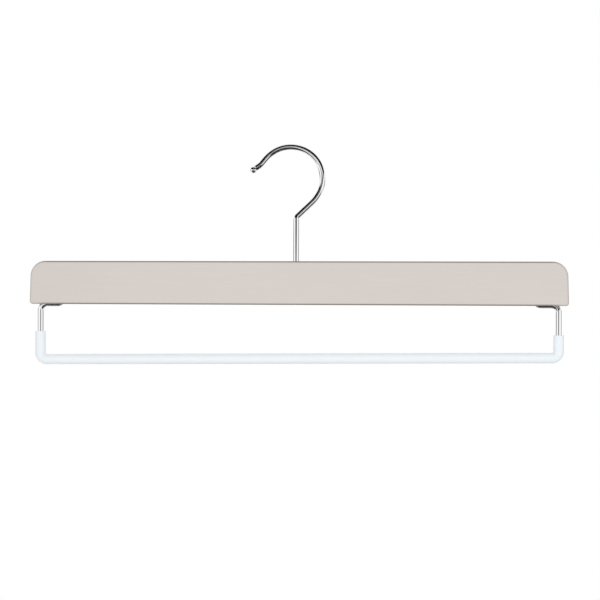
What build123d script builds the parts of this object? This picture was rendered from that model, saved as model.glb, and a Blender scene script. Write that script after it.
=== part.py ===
from build123d import *
import os
from math import asin, atan2, cos, degrees, hypot, radians, sin, sqrt, tan

# Trouser hanger: a flat wooden bar, a wire hook that turns in it, and a wire trouser bar
# in a soft sleeve below it. All lengths are in millimetres and all angles in degrees.
# X runs along the bar, -Y is the front and +Z is up. The origin is on the hook's turning
# axis, where that axis meets the inside of the hook's loop: the place a rail carries.

# Wooden bar
bar_length = 380.0
bar_height = 30.7
bar_thickness = 12.0
bar_end_lean = 1.7
bar_top_corner_radius = 10.6
bar_bottom_corner_radius = 2.2
bar_edge_radius = 1.8

# Hook wire, from its neck bend to the bead on its tip
hook_wire_diameter = 4.0
neck_rise = 31.0
neck_bend_radius = 4.0
loop_radius = 22.55
loop_rise = 58.1
loop_offset = 4.1
loop_end_angle = 139.5
throat_length = 5.9
tip_bend_radius = 9.0
tip_turn = 15.0
tip_length = 4.1
bead_diameter = 4.7
bead_neck_diameter = 3.3
bead_neck_length = 0.7
bead_blend_radius = 0.2

# What holds the hook in the wood
swivel_clearance = 0.05
bore_edge_break = 0.3
swivel_end_play = 0.05
washer_outer_diameter = 8.0
washer_thickness = 0.8
nut_across_flats = 7.0
nut_height = 3.2
nut_chamfer = 0.4
shank_past_nut = 0.8
counterbore_diameter = 9.2
counterbore_depth = 6.2

# Trouser bar wire
rail_wire_diameter = 4.0
leg_inset = 6.9
rail_drop = 37.7
rail_tilt = 0.52
arm_length = 16.8
arm_centre_above_underside = 0.4
arm_bend_radius = 4.9
rail_bend_radius = 4.5
tang_height = 14.0
tang_hole_spare_depth = 1.5
groove_clearance = 0.05

# Non-slip sleeve on the trouser bar
sleeve_diameter = 7.3
sleeve_left_top_drop = 19.2
sleeve_right_top_drop = 20.3
sleeve_clearance = 0.02
sleeve_end_radius = 0.4

# Reach of every cut past the face that it opens
cut_overrun = 2.0

# Levels. The swivel axis crosses the loop's inner side at the origin.
hook_wire_radius = hook_wire_diameter / 2
rail_wire_radius = rail_wire_diameter / 2
loop_inner_radius = loop_radius - hook_wire_radius
bar_top = -loop_rise - sqrt(loop_inner_radius**2 - loop_offset**2)
bar_underside = bar_top - bar_height
arm_level = bar_underside + arm_centre_above_underside
rail_level = bar_underside - rail_drop
leg_x = bar_length / 2 - leg_inset
tang_x = leg_x - arm_length
counterbore_ceiling = bar_underside + counterbore_depth
nut_top = counterbore_ceiling - washer_thickness - swivel_end_play
shank_end = nut_top - nut_height - shank_past_nut


def round_rod(centre_line, radius):
    """A round rod of one radius that follows a centre line."""
    section = Plane(origin=centre_line @ 0, z_dir=centre_line % 0) * Circle(radius)
    return sweep(section, path=centre_line)


def upright_cylinder(radius, low, high):
    """A cylinder on the swivel axis between two levels."""
    return extrude(Plane((0, 0, low)) * Circle(radius), amount=high - low)


def rail_end_level(side):
    """The level of the rail's right end, side 1, or its left end, side -1, which hangs lower."""
    return rail_level + side * leg_x * tan(radians(rail_tilt))


def trouser_wire_line(tang_top):
    """The trouser bar's centre line: tang, arm, leg, rail, leg, arm and tang."""
    right, left = [
        [
            (side * tang_x, tang_top),
            (side * tang_x, arm_level),
            (side * leg_x, arm_level),
            (side * leg_x, rail_end_level(side)),
        ]
        for side in (1, -1)
    ]
    bends = [arm_bend_radius, arm_bend_radius, rail_bend_radius]
    return Plane.XZ * FilletPolyline(right + left[::-1], radius=bends + bends[::-1])


def make_wooden_bar():
    """The bar: a flat board with rounded corners and edges, bored and grooved from below."""
    narrowing = bar_height * tan(radians(bar_end_lean))
    corners = [
        (-bar_length / 2, bar_underside),
        (bar_length / 2, bar_underside),
        (bar_length / 2 - narrowing, bar_top),
        (-bar_length / 2 + narrowing, bar_top),
    ]
    outline = make_face(Polyline(corners, close=True))
    top_corners = outline.vertices().sort_by(Axis.Y)[-2:]
    outline = fillet(top_corners, bar_top_corner_radius)
    low_corners = outline.vertices().sort_by(Axis.Y)[:2]
    outline = fillet(low_corners, bar_bottom_corner_radius)
    board = extrude(Plane.XZ * outline, amount=bar_thickness / 2, both=True)
    faces_front_to_back = board.faces().sort_by(Axis.Y)
    long_edges = faces_front_to_back[0].edges() + faces_front_to_back[-1].edges()
    board = fillet(long_edges, bar_edge_radius)

    stem_bore_radius = hook_wire_radius + swivel_clearance
    board -= upright_cylinder(stem_bore_radius, bar_underside - cut_overrun, bar_top + cut_overrun)
    top_face = board.faces().sort_by(Axis.Z)[-1]
    board = chamfer(top_face.edges().filter_by(GeomType.CIRCLE), bore_edge_break)
    board -= upright_cylinder(counterbore_diameter / 2, bar_underside - cut_overrun, counterbore_ceiling)

    nest_radius = rail_wire_radius + groove_clearance
    board -= round_rod(trouser_wire_line(arm_level + tang_height + tang_hole_spare_depth), nest_radius)
    for side in (-1, 1):
        groove_mouth = SlotCenterToCenter(arm_length, 2 * nest_radius)
        mouth_place = Plane((side * (leg_x - arm_length / 2), 0, bar_underside - cut_overrun))
        board -= extrude(mouth_place * groove_mouth, amount=arm_level - bar_underside + cut_overrun)
    return board


def make_swivel_hook():
    """The hook: one wire, up through the wood, kinked at the neck, round the loop and out to its bead."""
    loop_centre = (-loop_offset, bar_top + loop_rise)
    neck = (0, bar_top + neck_rise)
    reach = hypot(loop_centre[0] - neck[0], loop_centre[1] - neck[1])
    bearing = degrees(atan2(loop_centre[1] - neck[1], loop_centre[0] - neck[0]))
    diagonal_angle = bearing - degrees(asin(loop_radius / reach))
    diagonal_length = sqrt(reach**2 - loop_radius**2)
    loop_start_angle = diagonal_angle - 90

    def onward(start, angle, length):
        return (start[0] + length * cos(radians(angle)), start[1] + length * sin(radians(angle)))

    diagonal_end = onward(neck, diagonal_angle, diagonal_length)
    loop_end = onward(loop_centre, loop_end_angle, loop_radius)
    throat_angle = loop_end_angle + 90
    throat_end = onward(loop_end, throat_angle, throat_length)
    tip_angle = throat_angle - tip_turn
    tip_end = onward(throat_end, tip_angle, tip_length)

    stem = FilletPolyline((0, shank_end), neck, diagonal_end, radius=neck_bend_radius)
    loop = CenterArc(loop_centre, loop_radius, loop_start_angle, loop_end_angle - loop_start_angle)
    throat = FilletPolyline(loop_end, throat_end, tip_end, radius=tip_bend_radius)
    hook = round_rod(Plane.XZ * Wire(stem.edges() + loop.edges() + throat.edges()), hook_wire_radius)

    bead_radius = bead_diameter / 2
    bead_neck_radius = bead_neck_diameter / 2
    bead_from_neck = sqrt(bead_radius**2 - bead_neck_radius**2)
    bead_profile = make_face(
        [
            Polyline((0, 0), (0, bead_neck_radius), (bead_neck_length, bead_neck_radius)),
            CenterArc(
                (bead_neck_length + bead_from_neck, 0),
                bead_radius,
                180 - degrees(asin(bead_neck_radius / bead_radius)),
                degrees(asin(bead_neck_radius / bead_radius)) - 180,
            ),
            Line((bead_neck_length + bead_from_neck + bead_radius, 0), (0, 0)),
        ]
    )
    tip_frame = Plane(
        origin=(tip_end[0], 0, tip_end[1]),
        x_dir=(cos(radians(tip_angle)), 0, sin(radians(tip_angle))),
        z_dir=(0, -1, 0),
    )
    bead = revolve(tip_frame * bead_profile, axis=Axis(tip_frame.origin, tip_frame.x_dir))
    hook += bead
    rims = hook.edges().filter_by(GeomType.CIRCLE)
    neck_rims = rims.filter_by(lambda rim: rim.radius < hook_wire_radius - bead_blend_radius)
    return fillet(neck_rims, bead_blend_radius)


def make_hook_washer():
    """The plain washer that the wood rests on, up against the counterbore's ceiling."""
    low = counterbore_ceiling - washer_thickness
    washer = upright_cylinder(washer_outer_diameter / 2, low, counterbore_ceiling)
    return washer - upright_cylinder(
        hook_wire_radius + swivel_clearance, low - cut_overrun, counterbore_ceiling + cut_overrun
    )


def make_hook_nut():
    """The hexagon nut on the shank, with its corners chamfered at both ends."""
    low = nut_top - nut_height
    hexagon = RegularPolygon(nut_across_flats / 2, 6, major_radius=False)
    hexagon = extrude(Plane((0, 0, low)) * hexagon, amount=nut_height)
    rounding = upright_cylinder(nut_across_flats / sqrt(3), low, nut_top)
    rounding = chamfer(rounding.edges().filter_by(GeomType.CIRCLE), nut_chamfer / 2, nut_chamfer)
    nut = hexagon & rounding
    return nut - upright_cylinder(hook_wire_radius, low - cut_overrun, nut_top + cut_overrun)


def make_trouser_bar():
    """The trouser bar: one wire, nested in the underside of the wood at both ends."""
    return round_rod(trouser_wire_line(arm_level + tang_height), rail_wire_radius)


def sleeve_line(past_ends):
    """The sleeve's centre line, down one leg, along the rail and up the other, and on past its ends."""
    corners = [
        (leg_x, bar_underside - sleeve_right_top_drop + past_ends),
        (leg_x, rail_end_level(1)),
        (-leg_x, rail_end_level(-1)),
        (-leg_x, bar_underside - sleeve_left_top_drop + past_ends),
    ]
    return Plane.XZ * FilletPolyline(corners, radius=rail_bend_radius)


def make_non_slip_sleeve():
    """The sleeve: a soft tube over the rail and the lower part of both legs."""
    tube = round_rod(sleeve_line(0), sleeve_diameter / 2)
    end_rims = tube.edges().filter_by(GeomType.CIRCLE).sort_by(Axis.Z)[-2:]
    tube = fillet(end_rims, sleeve_end_radius)
    return tube - round_rod(sleeve_line(cut_overrun), rail_wire_radius + sleeve_clearance)


pieces = {
    "wooden_bar": make_wooden_bar(),
    "swivel_hook": make_swivel_hook(),
    "hook_washer": make_hook_washer(),
    "hook_nut": make_hook_nut(),
    "trouser_bar": make_trouser_bar(),
    "non_slip_sleeve": make_non_slip_sleeve(),
}
os.makedirs("parts", exist_ok=True)
for node, shape in pieces.items():
    export_step(shape, f"parts/{node}.step")
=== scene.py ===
from math import asin, atan2, cos, degrees, hypot, pi, radians, sin, sqrt, tan

import bpy
from mathutils import Matrix, Vector


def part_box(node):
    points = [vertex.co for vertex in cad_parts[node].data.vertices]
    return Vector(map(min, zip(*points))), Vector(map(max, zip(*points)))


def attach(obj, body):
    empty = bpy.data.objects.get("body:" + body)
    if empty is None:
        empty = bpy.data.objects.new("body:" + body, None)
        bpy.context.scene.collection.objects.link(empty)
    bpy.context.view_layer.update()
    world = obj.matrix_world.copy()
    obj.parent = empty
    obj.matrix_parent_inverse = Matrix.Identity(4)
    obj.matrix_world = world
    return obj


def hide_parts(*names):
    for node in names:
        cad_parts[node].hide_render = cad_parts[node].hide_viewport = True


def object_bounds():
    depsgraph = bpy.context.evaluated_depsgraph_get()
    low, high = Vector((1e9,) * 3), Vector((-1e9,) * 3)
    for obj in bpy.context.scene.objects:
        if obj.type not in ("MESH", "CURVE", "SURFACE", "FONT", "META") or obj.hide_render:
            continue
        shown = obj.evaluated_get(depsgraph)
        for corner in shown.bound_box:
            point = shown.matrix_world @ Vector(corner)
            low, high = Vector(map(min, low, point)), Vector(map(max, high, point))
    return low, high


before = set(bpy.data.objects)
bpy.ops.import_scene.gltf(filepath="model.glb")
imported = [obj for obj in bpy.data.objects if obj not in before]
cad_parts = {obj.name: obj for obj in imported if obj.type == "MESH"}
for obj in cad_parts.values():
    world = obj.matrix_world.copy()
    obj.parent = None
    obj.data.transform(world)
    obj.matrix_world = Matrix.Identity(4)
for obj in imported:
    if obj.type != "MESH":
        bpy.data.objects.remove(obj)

# Trouser hanger: a wooden bar under a turning wire hook, and a wire trouser bar in a soft
# sleeve. Lengths are in metres, X runs along the bar, -Y is the front and +Z is up.
cad_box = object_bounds()
mm = 0.001


# Wooden bar: a flat board of beech with rounded corners and edges, under a pale greige
# satin lacquer. It is bored for the hook's shank, counterbored for the nut, and grooved
# and drilled at both ends for the trouser bar. What is cut after lacquering stays bare.
class Shade:
    """A value in a finish. Sums and products of values add the nodes that work them out."""

    def __init__(self, tree, socket=None):
        self.tree = tree
        self.socket = socket

    def feed(self, socket, value):
        if isinstance(value, Shade):
            self.tree.links.new(value.socket, socket)
        else:
            socket.default_value = value

    def node(self, kind, settings=None, sockets=None, output=0):
        made = self.tree.nodes.new(kind)
        for name, setting in (settings or {}).items():
            setattr(made, name, setting)
        for name, value in (sockets or {}).items():
            self.feed(made.inputs[name], value)
        return Shade(self.tree, made.outputs[output])

    def existing(self, name):
        """What comes out of a node that the material began with."""
        return Shade(self.tree, self.tree.nodes[name].outputs[0])

    def worked(self, operation, first, second=0.0):
        return self.node("ShaderNodeMath", {"operation": operation}, {0: first, 1: second})

    def __add__(self, other):
        return self.worked("ADD", self, other)

    def __sub__(self, other):
        return self.worked("SUBTRACT", self, other)

    def __rsub__(self, other):
        return self.worked("SUBTRACT", other, self)

    def __mul__(self, other):
        return self.worked("MULTIPLY", self, other)

    __radd__ = __add__
    __rmul__ = __mul__

    def held(self, low=0.0, high=1.0):
        """The value, kept between two limits."""
        return self.worked("MINIMUM", self.worked("MAXIMUM", self, low), high)

    def blotches(self, place, size, detail, stretch=(1, 1, 1)):
        """Soft noise from 0 to 1 whose features are about that size, drawn out by stretch."""
        shares = tuple(1 / (size * by) for by in stretch)
        spread = self.node("ShaderNodeVectorMath", {"operation": "MULTIPLY"}, {0: place, 1: shares})
        return self.node("ShaderNodeTexNoise", None, {"Vector": spread, "Scale": 1.0, "Detail": detail})

    def between(self, share, low, high):
        """The colour at that share of the way from one colour to another."""
        sockets = {0: share}
        for socket, colour in ((6, low), (7, high)):
            sockets[socket] = colour if isinstance(colour, Shade) else (*colour, 1)
        return self.node("ShaderNodeMix", {"data_type": "RGBA"}, sockets, 2)

    def relief(self, height, depth):
        """A surface that is raised by height, from 0 to 1, times depth."""
        return self.node("ShaderNodeBump", None, {"Height": height, "Distance": depth})


def new_finish(name, **constants):
    """A material with these constants on its shader, that shader's sockets, the material's
    nodes and each point's place on the object.
    """
    material = bpy.data.materials.new(name)
    material.use_nodes = True
    sockets = material.node_tree.nodes["Principled BSDF"].inputs
    for socket, value in constants.items():
        sockets[socket.replace("_", " ")].default_value = value
    finish = Shade(material.node_tree)
    return material, sockets, finish, finish.node("ShaderNodeTexCoord", output="Object")


def cut_away(piece, *cutters):
    """Takes each cutter out of a piece, as a drill or a router does, and removes the cutter."""
    for cutter in cutters:
        bpy.ops.object.select_all(action="DESELECT")
        bpy.context.view_layer.objects.active = piece
        piece.select_set(True)
        bpy.ops.object.modifier_add(type="BOOLEAN")
        cut = piece.modifiers[-1]
        cut.operation = "DIFFERENCE"
        cut.solver = "EXACT"
        cut.material_mode = "TRANSFER"
        cut.object = cutter
        bpy.ops.object.modifier_apply(modifier=cut.name)
        bpy.data.objects.remove(cutter)


def select_points(piece, chosen):
    """Selects, in edit mode, the points of a piece for which chosen is true, and what they bound."""
    bpy.ops.mesh.select_mode(type="VERT")
    bpy.ops.mesh.select_all(action="DESELECT")
    bpy.ops.object.mode_set(mode="OBJECT")
    for point in piece.data.vertices:
        point.select = chosen(point.co)
    bpy.ops.object.mode_set(mode="EDIT")
    bpy.ops.mesh.select_mode(type="EDGE")


class BentRod:
    """A round rod, pushed on and bent in the hanger's upright plane as on a bending machine.

    Headings are in degrees: 0 to the right, 90 up. A bend to the left has a positive turn.
    """

    weld_distance = 0.0001 * mm

    def __init__(self, name, start, heading, radius, sides=40):
        bpy.ops.object.select_all(action="DESELECT")
        bpy.ops.mesh.primitive_circle_add(
            vertices=sides,
            radius=radius,
            fill_type="NOTHING",
            location=start,
            rotation=(0, radians(90 - heading), 0),
        )
        self.piece = bpy.context.active_object
        self.piece.name = name
        bpy.ops.object.transform_apply()
        bpy.ops.object.mode_set(mode="EDIT")
        bpy.ops.mesh.select_all(action="SELECT")
        self.end = Vector(start)
        self.heading = heading
        self.radius = radius

    def push(self, length, radius=None):
        """Goes straight on, and on to another radius if one is given."""
        forward = Vector((cos(radians(self.heading)), 0, sin(radians(self.heading))))
        bpy.ops.mesh.extrude_region_move(TRANSFORM_OT_translate={"value": forward * length})
        self.end = self.end + forward * length
        if radius is not None:
            by = radius / self.radius
            bpy.ops.transform.resize(value=(by, by, by), center_override=self.end)
            self.radius = radius

    def bend(self, turn, bend_radius, step=5):
        """Bends by turn, in steps of about so many degrees."""
        side = 1 if turn > 0 else -1
        towards = Vector((-sin(radians(self.heading)), 0, cos(radians(self.heading)))) * side
        centre = self.end + towards * bend_radius
        bpy.ops.mesh.spin(
            steps=max(1, round(abs(turn) / step)),
            angle=radians(abs(turn)),
            center=centre,
            axis=(0, side, 0),
        )
        self.heading += turn
        self.end = centre - bend_radius * side * Vector(
            (-sin(radians(self.heading)), 0, cos(radians(self.heading)))
        )

    def finish(self, sharp_above=None):
        """Closes both ends, turns every face outwards and, if sharp_above is given, smooths all but the
        edges sharper than that.
        """
        bpy.ops.mesh.select_all(action="SELECT")
        bpy.ops.mesh.remove_doubles(threshold=self.weld_distance)
        bpy.ops.mesh.fill_holes(sides=0)
        bpy.ops.mesh.select_all(action="SELECT")
        bpy.ops.mesh.normals_make_consistent(inside=False)
        bpy.ops.object.mode_set(mode="OBJECT")
        if sharp_above is not None:
            bpy.ops.object.shade_smooth_by_angle(angle=radians(sharp_above))
        return self.piece


bar_length = 380 * mm
bar_end_lean = radians(1.7)
bar_top_corner_radius = 10.6 * mm
bar_bottom_corner_radius = 2.2 * mm
bar_edge_radius = 1.8 * mm
wire_diameter = 4.0 * mm
wire_clearance = 0.05 * mm
bore_edge_break = 0.3 * mm
counterbore_diameter = 9.2 * mm
counterbore_depth = 6.2 * mm
leg_inset = 6.9 * mm
arm_length = 16.8 * mm
arm_above_underside = 0.4 * mm
arm_bend_radius = 4.9 * mm
tang_hole_depth = 15.5 * mm
corner_segments = 16
edge_segments = 8

wood_low, wood_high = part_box("wooden_bar")
bar_underside, bar_top = wood_low.z, wood_high.z
bar_height = bar_top - bar_underside
bar_thickness = wood_high.y - wood_low.y
arm_level = bar_underside + arm_above_underside
leg_x = bar_length / 2 - leg_inset
tang_x = leg_x - arm_length

bpy.ops.object.select_all(action="DESELECT")
bpy.ops.mesh.primitive_cube_add(
    size=1,
    location=(0, 0, (bar_underside + bar_top) / 2),
    scale=(bar_length, bar_thickness, bar_height),
)
bar = bpy.context.active_object
bar.name = "lacquered_bar"
bpy.ops.object.transform_apply()
bpy.ops.object.mode_set(mode="EDIT")
select_points(bar, lambda point: point.z > bar_top - mm)
narrowed = 1 - 2 * bar_height * tan(bar_end_lean) / bar_length
bpy.ops.transform.resize(value=(narrowed, 1, 1), center_override=(0, 0, bar_top))


def round_corners(level, corner_angle, radius):
    """Rounds the two end corners at that level, which the ends meet at that angle."""
    for side in (-1, 1):
        select_points(bar, lambda point: abs(point.z - level) < mm / 10 and side * point.x > 0)
        bpy.ops.mesh.bevel(
            offset=radius / tan(corner_angle / 2), segments=corner_segments, affect="EDGES"
        )


round_corners(bar_top, pi / 2 + bar_end_lean, bar_top_corner_radius)
round_corners(bar_underside, pi / 2 - bar_end_lean, bar_bottom_corner_radius)
for side in (-1, 1):
    select_points(bar, lambda point: side * point.y > bar_thickness / 2 - mm / 10)
    bpy.ops.mesh.region_to_loop()
    bpy.ops.mesh.bevel(offset=bar_edge_radius, segments=edge_segments, affect="EDGES")
bpy.ops.object.mode_set(mode="OBJECT")

warm_greige = (0.635, 0.580, 0.550)
pale_greige = (0.725, 0.670, 0.635)
# The colour of the painted shade along the bar's rounded edges.
edge_shade_colour = (0.16, 0.125, 0.10)
lacquer_relief = 0.05 * mm
lacquer, lacquer_sockets, coat, place = new_finish(
    "greige_satin_lacquer", IOR=1.48, Specular_IOR_Level=0.25
)
cloudy = coat.blotches(place, 60 * mm, detail=2, stretch=(2.5, 1, 1))
fibres = coat.blotches(place, 1.1 * mm, detail=5, stretch=(22, 1, 1))
orange_peel = coat.blotches(place, 2.2 * mm, detail=2)
full_coat = coat.between(cloudy * 0.55 + fibres * 0.45, warm_greige, pale_greige)

# Painted shade: the rounded edges round the face get a darker colour, which stands in for
# the shade where they turn up and down away from the light. The painted line lies between
# two depths from the face and grows faint towards the bar's ends.
line_start = 0.08 * mm
line_start_blend = 0.4 * mm
line_stop = 1.6 * mm
line_stop_blend = 0.6 * mm
faint_end = 2 * mm
faint_end_blend = 11 * mm
line_strength = 0.82
strength_left_at_ends = 0.25
along = coat.node("ShaderNodeSeparateXYZ", None, {"Vector": place}, "X")
across = coat.node("ShaderNodeSeparateXYZ", None, {"Vector": place}, "Y")
from_end = bar_length / 2 - coat.worked("ABSOLUTE", along)
from_face = bar_thickness / 2 - coat.worked("ABSOLUTE", across)
begun = ((from_face - line_start) * (1 / line_start_blend)).held()
not_over = ((line_stop - from_face) * (1 / line_stop_blend)).held()
away_from_ends = ((from_end - faint_end) * (1 / faint_end_blend)).held(strength_left_at_ends, 1.0)
painted_edge_shade = begun * not_over * away_from_ends * line_strength
# The painted edge shade darkens the lacquer's own colour.
coat.feed(lacquer_sockets["Base Color"], coat.between(painted_edge_shade, full_coat, edge_shade_colour))
coat.feed(lacquer_sockets["Roughness"], fibres * 0.16 + 0.36)
coat.feed(
    lacquer_sockets["Normal"], coat.relief(fibres * 0.75 + orange_peel * 0.25, lacquer_relief)
)
bar.data.materials.append(lacquer)

late_wood = (0.42, 0.27, 0.155)
early_wood = (0.66, 0.475, 0.31)
pore_relief = 0.06 * mm
beech, beech_sockets, grain, place = new_finish("bare_beech", Specular_IOR_Level=0.25)
rings = grain.blotches(place, 2.4 * mm, detail=2, stretch=(30, 1, 1))
pores = grain.blotches(place, 0.35 * mm, detail=4, stretch=(14, 1, 1))
beech_colour = grain.between(rings * 0.6 + pores * 0.4, late_wood, early_wood)
grain.feed(beech_sockets["Base Color"], beech_colour)
grain.feed(beech_sockets["Roughness"], pores * 0.2 + 0.62)
grain.feed(beech_sockets["Normal"], grain.relief(pores, pore_relief))

past = 2 * mm
bore_radius = wire_diameter / 2 + wire_clearance
counterbore_ceiling = bar_underside + counterbore_depth
shank_bore = BentRod("shank_bore", (0, 0, bar_underside - past), 90, bore_radius)
shank_bore.push(bar_height + past - bore_edge_break)
shank_bore.push(2 * bore_edge_break, bore_radius + 2 * bore_edge_break)
cutters = [shank_bore.finish()]
counterbore = BentRod(
    "counterbore", (0, 0, bar_underside - past), 90, counterbore_diameter / 2, sides=72
)
counterbore.push(past + counterbore_depth)
cutters.append(counterbore.finish())
for side in (-1, 1):
    nest = BentRod("arm_nest", (side * tang_x, 0, arm_level + tang_hole_depth), -90, bore_radius)
    nest.push(tang_hole_depth - arm_bend_radius)
    nest.bend(side * 90, arm_bend_radius)
    nest.push(arm_length - 2 * arm_bend_radius)
    nest.bend(side * -90, arm_bend_radius)
    nest.push(past)
    cutters.append(nest.finish())
    mouth = BentRod("nest_mouth", (side * leg_x, 0, bar_underside - past), 90, bore_radius)
    select_points(mouth.piece, lambda point: side * point.x < leg_x)
    bpy.ops.transform.translate(value=(-side * arm_length, 0, 0))
    bpy.ops.mesh.select_all(action="SELECT")
    mouth.push(past + arm_above_underside)
    cutters.append(mouth.finish())
for cutter in cutters:
    cutter.data.materials.append(beech)
cut_away(bar, *cutters)
sharp_above = 32
bpy.ops.object.shade_smooth_by_angle(angle=radians(sharp_above))
bpy.ops.object.modifier_add(type="WEIGHTED_NORMAL")
bar.modifiers[-1].keep_sharp = True
bpy.ops.object.modifier_apply(modifier=bar.modifiers[-1].name)
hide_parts("wooden_bar")
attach(bar, "bar")


# Swivel hook: one round steel wire, drawn, bent cold and chromed. Its straight shank
# turns in the bore and has a groove for the nut's stake near its end. The open end is
# drawn in behind a round bead, so that it snags nothing.
neck_rise = 31.0 * mm
neck_bend_radius = 4.0 * mm
loop_radius = 22.55 * mm
loop_rise = 58.1 * mm
loop_offset = 4.1 * mm
loop_end_angle = 139.5
throat_length = 5.9 * mm
tip_bend_radius = 9.0 * mm
tip_turn = 15.0
tip_length = 4.1 * mm
bead_radius = 2.35 * mm
bead_neck_radius = 1.65 * mm
bead_neck_length = 0.7 * mm
bead_blend = 0.2 * mm
bead_step = 8
bead_pole = 176.5
end_chamfer = 0.3 * mm
stake_groove_width = 0.3 * mm

wire_radius = wire_diameter / 2
shank_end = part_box("swivel_hook")[0].z
neck_level = bar_top + neck_rise
to_centre = (-loop_offset, loop_rise - neck_rise)
reach = hypot(*to_centre)
slant = degrees(atan2(to_centre[1], to_centre[0]) - asin(loop_radius / reach))
slant_length = sqrt(reach**2 - loop_radius**2)
neck_turn = slant - 90
neck_taken = neck_bend_radius * tan(radians(-neck_turn) / 2)
tip_taken = tip_bend_radius * tan(radians(tip_turn) / 2)
loop_turn = loop_end_angle + 90 - slant

hook = BentRod("bent_hook", (0, 0, shank_end), 90, wire_radius - end_chamfer)
hook.push(end_chamfer, wire_radius)
hook.push(stake_groove_width / 2, wire_radius - stake_groove_width / 2)
hook.push(stake_groove_width / 2, wire_radius)
hook.push(neck_level - neck_taken - shank_end - end_chamfer - stake_groove_width)
hook.bend(neck_turn, neck_bend_radius, step=4)
hook.push(slant_length - neck_taken)
hook.bend(loop_turn, loop_radius, step=3)
hook.push(throat_length - tip_taken)
hook.bend(-tip_turn, tip_bend_radius, step=3)
hook.push(tip_length - tip_taken)
shoulder_drop = wire_radius - bead_neck_radius - bead_blend
for turned in (30, 60, 90):
    hook.push(bead_blend * sin(radians(turned)) / 2, wire_radius - shoulder_drop * turned / 90)
hook.push(bead_neck_length - bead_blend, bead_neck_radius)
reached = degrees(asin(bead_neck_radius / bead_radius))
while reached < bead_pole:
    turned = min(reached + bead_step, bead_pole)
    ahead = bead_radius * (cos(radians(reached)) - cos(radians(turned)))
    hook.push(ahead, bead_radius * sin(radians(turned)))
    reached = turned
hook = hook.finish(sharp_above)

hazed_chrome = (0.86, 0.87, 0.88)
clear_chrome = (0.93, 0.93, 0.935)
chrome_relief = 0.002 * mm
chrome, chrome_sockets, plating, place = new_finish("polished_chrome", Metallic=1.0)
haze = plating.blotches(place, 6 * mm, detail=3)
ripple = plating.blotches(place, 1.6 * mm, detail=2)
plating.feed(chrome_sockets["Base Color"], plating.between(haze, hazed_chrome, clear_chrome))
plating.feed(chrome_sockets["Roughness"], haze * 0.05 + 0.02)
plating.feed(chrome_sockets["Normal"], plating.relief(ripple, chrome_relief))
hook.data.materials.append(chrome)
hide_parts("swivel_hook")
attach(hook, "hook")


# Washer and nut: stamped and pressed steel under bright zinc plate, out of sight in the
# counterbore. The washer carries the wood, and the nut is run up the shank and staked.
bluish_zinc = (0.52, 0.54, 0.575)
yellowish_zinc = (0.72, 0.715, 0.69)
scuff_relief = 0.012 * mm
zinc, zinc_sockets, plating, place = new_finish("bright_zinc", Metallic=1.0)
bloom = plating.blotches(place, 1.8 * mm, detail=4)
scuffs = plating.blotches(place, 0.3 * mm, detail=3, stretch=(6, 1, 1))
plating.feed(zinc_sockets["Base Color"], plating.between(bloom, bluish_zinc, yellowish_zinc))
plating.feed(zinc_sockets["Roughness"], bloom * 0.18 + scuffs * 0.12 + 0.2)
plating.feed(zinc_sockets["Normal"], plating.relief(scuffs, scuff_relief))
for node in ("hook_washer", "hook_nut"):
    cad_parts[node].material_slots[0].material = zinc


# Trouser bar: one chromed wire, bent to a wide U whose arms lie half sunk in the wood and
# whose tangs stand in blind holes there, so that it can't turn. The right leg is bent a
# little shorter than the left one, so the rail isn't quite level.
tang_height = 14.0 * mm
rail_drop = 37.7 * mm
rail_bend_radius = 4.5 * mm
rail_tilt = 0.52
rail_rise = leg_x * tan(radians(rail_tilt))
rail_length = 2 * leg_x / cos(radians(rail_tilt))
right_corner = rail_bend_radius * tan(radians(90 - rail_tilt) / 2)
left_corner = rail_bend_radius * tan(radians(90 + rail_tilt) / 2)
leg_length = rail_drop + arm_above_underside

trouser_bar = BentRod(
    "bent_trouser_bar", (tang_x, 0, arm_level + tang_height), -90, wire_radius - end_chamfer
)
trouser_bar.push(end_chamfer, wire_radius)
trouser_bar.push(tang_height - arm_bend_radius - end_chamfer)
trouser_bar.bend(90, arm_bend_radius)
trouser_bar.push(arm_length - 2 * arm_bend_radius)
trouser_bar.bend(-90, arm_bend_radius)
trouser_bar.push(leg_length - rail_rise - arm_bend_radius - right_corner)
trouser_bar.bend(rail_tilt - 90, rail_bend_radius)
trouser_bar.push(rail_length - right_corner - left_corner)
trouser_bar.bend(-rail_tilt - 90, rail_bend_radius)
trouser_bar.push(leg_length + rail_rise - arm_bend_radius - left_corner)
trouser_bar.bend(-90, arm_bend_radius)
trouser_bar.push(arm_length - 2 * arm_bend_radius)
trouser_bar.bend(90, arm_bend_radius)
trouser_bar.push(tang_height - arm_bend_radius - end_chamfer)
trouser_bar.push(end_chamfer, wire_radius - end_chamfer)
trouser_bar = trouser_bar.finish(sharp_above)
trouser_bar.data.materials.append(chrome)
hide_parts("trouser_bar")
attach(trouser_bar, "bar")


# Non-slip sleeve: a soft white PVC tube, cut to length and pushed on the straight wire
# before it is bent. It grips by its own stretch, and it bends at the corners with the wire.
sleeve_radius = 3.65 * mm
sleeve_bore = 2.02 * mm
sleeve_left_top_drop = 19.2 * mm
sleeve_right_top_drop = 20.3 * mm
sleeve_end_radius = 0.4 * mm
right_run = rail_drop - rail_rise - sleeve_right_top_drop - right_corner
left_run = rail_drop + rail_rise - sleeve_left_top_drop - left_corner
right_top = (leg_x, 0, bar_underside - sleeve_right_top_drop)

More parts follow.
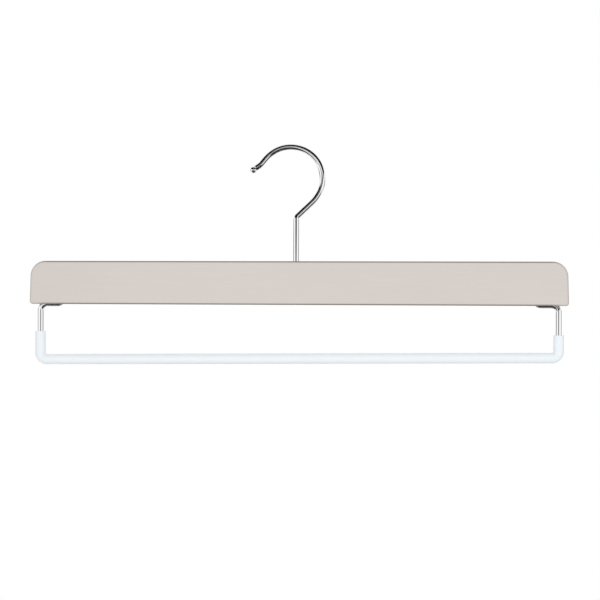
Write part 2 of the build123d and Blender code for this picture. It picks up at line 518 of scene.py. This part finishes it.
rim_radius = (sleeve_radius + sleeve_bore) / 2
rim_turns = (22.5, 45, 67.5, 90)
sleeve = BentRod("soft_sleeve", right_top, -90, rim_radius, sides=56)
sleeve.push(0, sleeve_radius - sleeve_end_radius)
for turned in rim_turns:
    ahead = cos(radians(turned - rim_turns[0])) - cos(radians(turned))
    sleeve.push(
        sleeve_end_radius * ahead, sleeve_radius - sleeve_end_radius * (1 - sin(radians(turned)))
    )
sleeve.push(right_run - sleeve_end_radius)
sleeve.bend(rail_tilt - 90, rail_bend_radius)
sleeve.push(rail_length - right_corner - left_corner)
sleeve.bend(-rail_tilt - 90, rail_bend_radius)
sleeve.push(left_run - sleeve_end_radius)
for turned in rim_turns:
    ahead = sin(radians(turned)) - sin(radians(turned - rim_turns[0]))
    sleeve.push(
        sleeve_end_radius * ahead, sleeve_radius - sleeve_end_radius * (1 - cos(radians(turned)))
    )
sleeve.push(0, sleeve_bore)
sleeve.heading += 180
sleeve.push(left_run)
sleeve.bend(90 + rail_tilt, rail_bend_radius)
sleeve.push(rail_length - right_corner - left_corner)
sleeve.bend(90 - rail_tilt, rail_bend_radius)
sleeve.push(right_run)
sleeve.push(0, rim_radius)
sleeve = sleeve.finish(sharp_above=50)

milk_white = (0.88, 0.94, 0.995)
clear_white = (0.91, 0.965, 1.0)
skin_relief = 0.01 * mm
soft_white, soft_sockets, skin, place = new_finish(
    "soft_white_pvc",
    Subsurface_Weight=0.1,
    Subsurface_Radius=(1.0, 1.0, 1.0),
    Subsurface_Scale=0.8 * mm,
    Sheen_Weight=0.35,
    Sheen_Roughness=0.5,
    IOR=1.5,
)
milky = skin.blotches(place, 9 * mm, detail=2)
matt = skin.blotches(place, 0.6 * mm, detail=3)
skin.feed(soft_sockets["Base Color"], skin.between(milky, milk_white, clear_white))
skin.feed(soft_sockets["Roughness"], matt * 0.14 + 0.34)
skin.feed(soft_sockets["Normal"], skin.relief(matt, skin_relief))
sleeve.data.materials.append(soft_white)
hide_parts("non_slip_sleeve")
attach(sleeve, "bar")


# Studio: a pale floor well below the hanger, a large soft lamp in front of it, another
# behind it and even light all round. Its white surround shows at full strength to the
# camera and in shiny metal, and black curtains draw the dark lines along the chrome.
hanger_centre = Vector((0, 0, -90 * mm))
camera_azimuth = radians(5.61)
lamp_elevation = radians(5)
lamp_distance = 1.4
lamp_width = 1.3
lamp_height = 0.7
lamp_watts = 7.8
lamp_level_reach = lamp_distance * cos(lamp_elevation)
lamp_rise = lamp_distance * sin(lamp_elevation)
for name, azimuth in (("front_lamp", radians(7)), ("back_lamp", radians(187))):
    light = bpy.data.lights.new(name, "AREA")
    light.shape = "RECTANGLE"
    light.size = lamp_width
    light.size_y = lamp_height
    light.energy = lamp_watts
    lamp = bpy.data.objects.new(name, light)
    bpy.context.scene.collection.objects.link(lamp)
    from_hanger = Vector(
        (sin(azimuth) * lamp_level_reach, -cos(azimuth) * lamp_level_reach, lamp_rise)
    )
    lamp.location = hanger_centre + from_hanger
    lamp.rotation_euler = from_hanger.to_track_quat("Z", "Y").to_euler()
    lamp.visible_glossy = False

velvet_black = 0.012
black_velvet, _, velvet, _ = new_finish(
    "black_velvet",
    Base_Color=(velvet_black, velvet_black, velvet_black, 1),
    Roughness=1.0,
    Specular_IOR_Level=0.0,
)
fullness = velvet.node("ShaderNodeAttribute", {"attribute_name": "fullness"}, output="Fac")
pile = velvet.existing("Principled BSDF")
gauze = velvet.node("ShaderNodeBsdfTransparent")
velvet.feed(
    black_velvet.node_tree.nodes["Material Output"].inputs["Surface"],
    velvet.node("ShaderNodeMixShader", None, {0: fullness, 1: gauze, 2: pile}),
)
curtain_edge = 6
curtain_distance = 1.1
curtain_rows = 30


def black_curtain(name, ribs):
    """A black curtain that shows in metal only, hung on ribs round the line of sight. A rib
    has its turn about that line, with 0 to the right and 90 up, and its first and last
    angle from the camera's side, all in degrees. The curtain thins out towards its edges.
    """
    closed = ribs[-1][0] - ribs[0][0] == 360
    bpy.ops.object.select_all(action="DESELECT")
    bpy.ops.mesh.primitive_grid_add(x_subdivisions=len(ribs) - 1, y_subdivisions=curtain_rows)
    curtain = bpy.context.active_object
    curtain.name = name
    drape = curtain.data.attributes.new("fullness", "FLOAT", "POINT")
    for thread in curtain.data.vertices:
        row, rib = divmod(thread.index, len(ribs))
        turn, first, last = ribs[rib]
        angle = first + (last - first) * row / curtain_rows
        turn, swing = radians(turn), radians(angle)
        outwards = Vector((cos(turn) * sin(swing), -cos(swing), sin(turn) * sin(swing)))
        outwards.rotate(Matrix.Rotation(camera_azimuth, 3, "Z"))
        thread.co = hanger_centre + curtain_distance * outwards
        full = 1
        if first > 0:
            full = min(full, (angle - first) / curtain_edge)
        if last < 180:
            full = min(full, (last - angle) / curtain_edge)
        if rib in (0, len(ribs) - 1) and not closed:
            full = 0
        drape.data[thread.index].value = full
    curtain.data.materials.append(black_velvet)
    curtain.visible_camera = False
    curtain.visible_diffuse = False
    curtain.visible_shadow = False
    curtain.visible_transmission = False


black_curtain(
    "curtain_above",
    [
        (8, 42, 56), (20, 25, 106), (40, 27, 136), (60, 28, 118), (80, 21, 96), (95, 17, 92),
        (110, 16, 94), (130, 19, 104), (140, 18, 124), (158, 12, 96), (168, 8, 60),
    ],
)
black_curtain(
    "curtain_below",
    [
        (-172, 50, 60), (-158, 42, 79), (-138, 36, 89), (-120, 20, 120), (-100, 14, 150),
        (-85, 12, 150), (-70, 12, 140), (-52, 34, 128), (-40, 44, 112), (-24, 48, 102), (-10, 62, 74),
    ],
)
black_curtain(
    "curtain_in_front",
    [
        (30, 0, 24), (60, 0, 15), (90, 0, 12), (120, 0, 10), (150, 0, 20), (165, 0, 46),
        (172, 0, 34), (180, 0, 21), (200, 0, 18), (214, 0, 17), (250, 0, 12), (315, 0, 14),
        (345, 0, 16), (360, 0, 18), (370, 0, 28), (376, 0, 40), (390, 0, 24),
    ],
)
for side in (0, 180):
    black_curtain("curtain_beside", [(side + turn, 102, 150) for turn in (-14, -5, 5, 14)])
black_curtain(
    "curtain_behind",
    [
        (0, 162, 180), (40, 150, 180), (70, 156, 180), (110, 148, 180), (150, 158, 180),
        (180, 164, 180), (220, 152, 180), (260, 158, 180), (310, 150, 180), (360, 162, 180),
    ],
)

world = bpy.data.worlds.new("studio")
bpy.context.scene.world = world
world.use_nodes = True
air = Shade(world.node_tree)
camera_ray = air.node("ShaderNodeLightPath", output="Is Camera Ray")
glossy_ray = air.node("ShaderNodeLightPath", output="Is Glossy Ray")
transmission_ray = air.node("ShaderNodeLightPath", output="Is Transmission Ray")
white_shows = (camera_ray + glossy_ray + transmission_ray).held()
fill_strength = 0.65
plain_white = (1, 1, 1, 1)
fill = air.node("ShaderNodeBackground", None, {"Color": plain_white, "Strength": fill_strength})
white = air.node("ShaderNodeBackground", None, {"Color": plain_white, "Strength": 1.0})
surround = air.node("ShaderNodeMixShader", None, {0: white_shows, 1: fill, 2: white})
air.feed(world.node_tree.nodes["World Output"].inputs["Surface"], surround)

floor_drop = 0.3
floor_radius = 0.7
floor_fades_from = 0.373
floor_fades_to = 0.607
floor_whitened = 0.7
paper_grey = 0.88
bpy.ops.mesh.primitive_circle_add(
    vertices=96, radius=floor_radius, fill_type="NGON", location=(0, 0, cad_box[0].z - floor_drop)
)
floor = bpy.context.active_object
floor.name = "floor"
pale, _, paper, place = new_finish(
    "pale_paper",
    Base_Color=(paper_grey, paper_grey, paper_grey, 1),
    Roughness=0.9,
    Specular_IOR_Level=0.0,
)
outwards = paper.node("ShaderNodeVectorMath", {"operation": "LENGTH"}, {0: place}, "Value")
fade = ((outwards - floor_fades_from) * (1 / (floor_fades_to - floor_fades_from))).held()
lit = paper.existing("Principled BSDF")
whitened = paper.node("ShaderNodeLightPath", output="Is Camera Ray") * floor_whitened
unseen = paper.node("ShaderNodeBsdfTransparent")
paleness = paper.node("ShaderNodeMixShader", None, {0: whitened, 1: lit, 2: unseen})
seen = paper.node("ShaderNodeMixShader", None, {0: fade, 1: paleness, 2: unseen})
from_below = paper.node("ShaderNodeNewGeometry", output="Backfacing")
paper.feed(
    pale.node_tree.nodes["Material Output"].inputs["Surface"],
    paper.node("ShaderNodeMixShader", None, {0: from_below, 1: seen, 2: unseen}),
)
floor.data.materials.append(pale)
floor.visible_glossy = False


# Camera: level with the middle of the frame and a little to the right of the hanger, with
# a portrait lens, so that the bar's right end looks larger than its left.
camera_roll = radians(0.22)
camera_distance = 1.2
aimed_at = Vector((2.89 * mm, 0, -105.42 * mm))
picture_width = 600
pixels_per_metre = 1421.8
camera_data = bpy.data.cameras.new("camera")
camera_data.sensor_width = 36
camera_data.lens = camera_data.sensor_width * pixels_per_metre * camera_distance / picture_width
camera = bpy.data.objects.new("camera", camera_data)
bpy.context.scene.collection.objects.link(camera)
camera.matrix_world = (
    Matrix.Translation(aimed_at)
    @ Matrix.Rotation(camera_azimuth, 4, "Z")
    @ Matrix.Rotation(pi / 2, 4, "X")
    @ Matrix.Rotation(camera_roll, 4, "Z")
    @ Matrix.Translation((0, 0, camera_distance))
)
bpy.context.scene.camera = camera
bpy.context.scene.view_settings.view_transform = "Standard"
